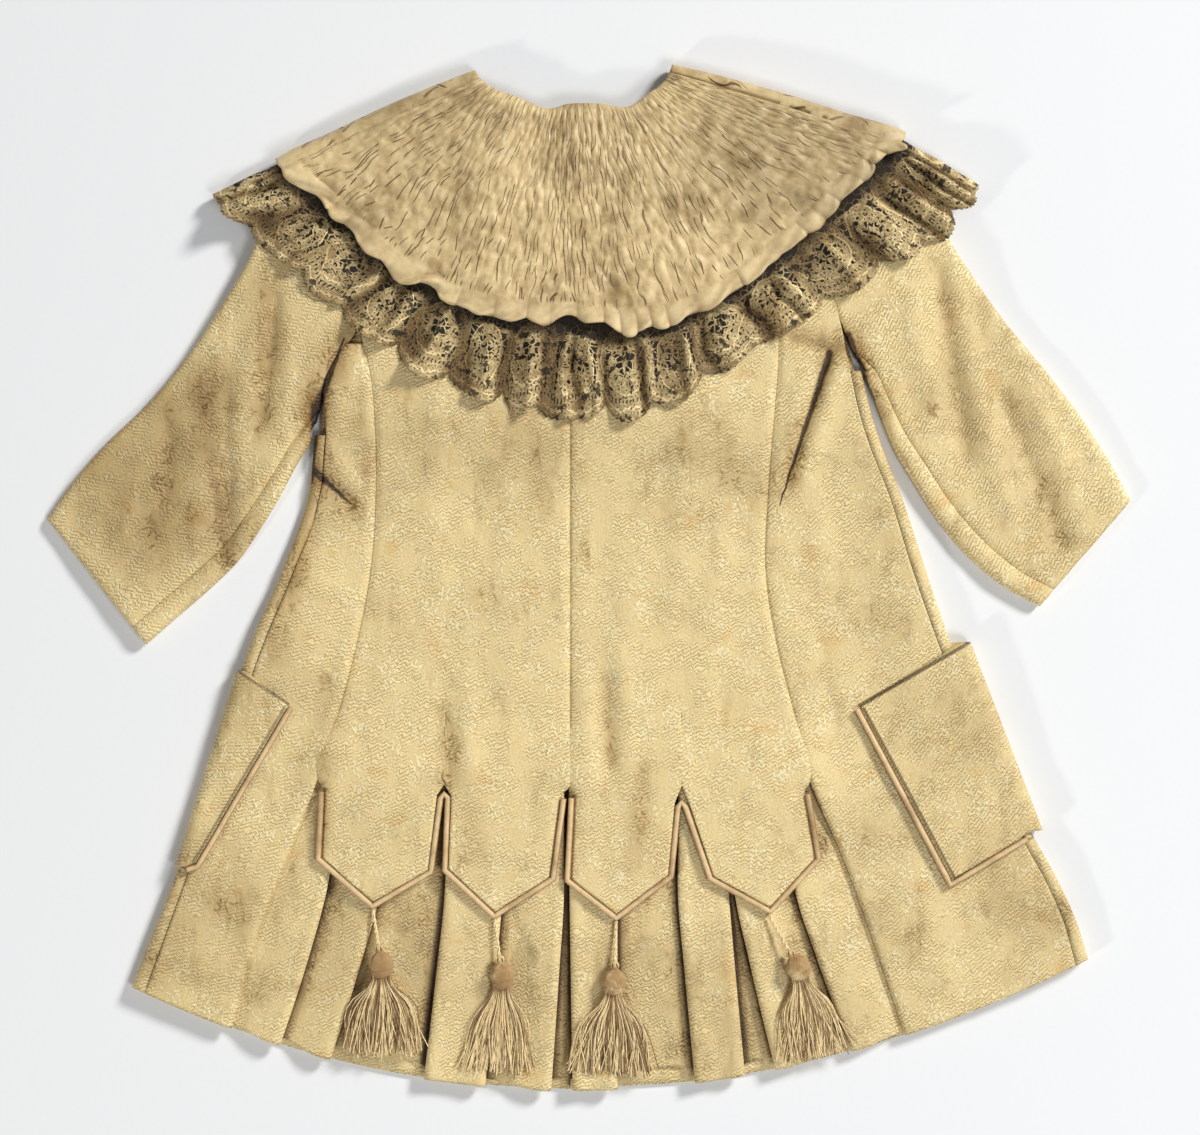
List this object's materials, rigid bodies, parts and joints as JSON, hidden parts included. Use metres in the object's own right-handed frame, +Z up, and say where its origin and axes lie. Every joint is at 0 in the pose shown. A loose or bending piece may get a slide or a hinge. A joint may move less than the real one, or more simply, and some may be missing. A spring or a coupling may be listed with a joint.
{
  "type": "child's coat",
  "caption": "Child's cream figured-silk coat, back up, with a smocked satin collar edged in gathered lace, bound tabs with tassels over a pleated skirt, and wrapped patch pockets.",
  "frame": {"origin": "on the surface the coat lies on, under the middle of its overall length and width", "axes": "+Z up out of the coat's back, +Y towards the neck, +X towards the sleeve at the right of the picture"},
  "size_m": [0.5838, 0.5522, 0.0175],
  "materials": {
    "figured_silk": "soft sheen, woven wavy ribs and small glossy sprigs",
    "satin": "satin sheen",
    "lace": "matt, dry cotton thread",
    "tassel_silk": "silk floss"
  },
  "bodies": {
    "root": {"back_left": "figured_silk", "back_right": "figured_silk", "side_left": "figured_silk", "side_right": "figured_silk", "front_left": "figured_silk", "front_right": "figured_silk", "skirt": "figured_silk", "sleeve_left_upper": "figured_silk", "sleeve_left_under": "figured_silk", "sleeve_right_upper": "figured_silk", "sleeve_right_under": "figured_silk", "pocket_left": "figured_silk", "pocket_right": "figured_silk", "collar": "satin", "piping_left": "satin", "piping_right": "satin", "piping_pocket_left": "satin", "piping_pocket_right": "satin", "lace": "lace", "tassel_1": "tassel_silk", "tassel_2": "tassel_silk", "tassel_3": "tassel_silk", "tassel_4": "tassel_silk"}
  },
  "joints": []
}
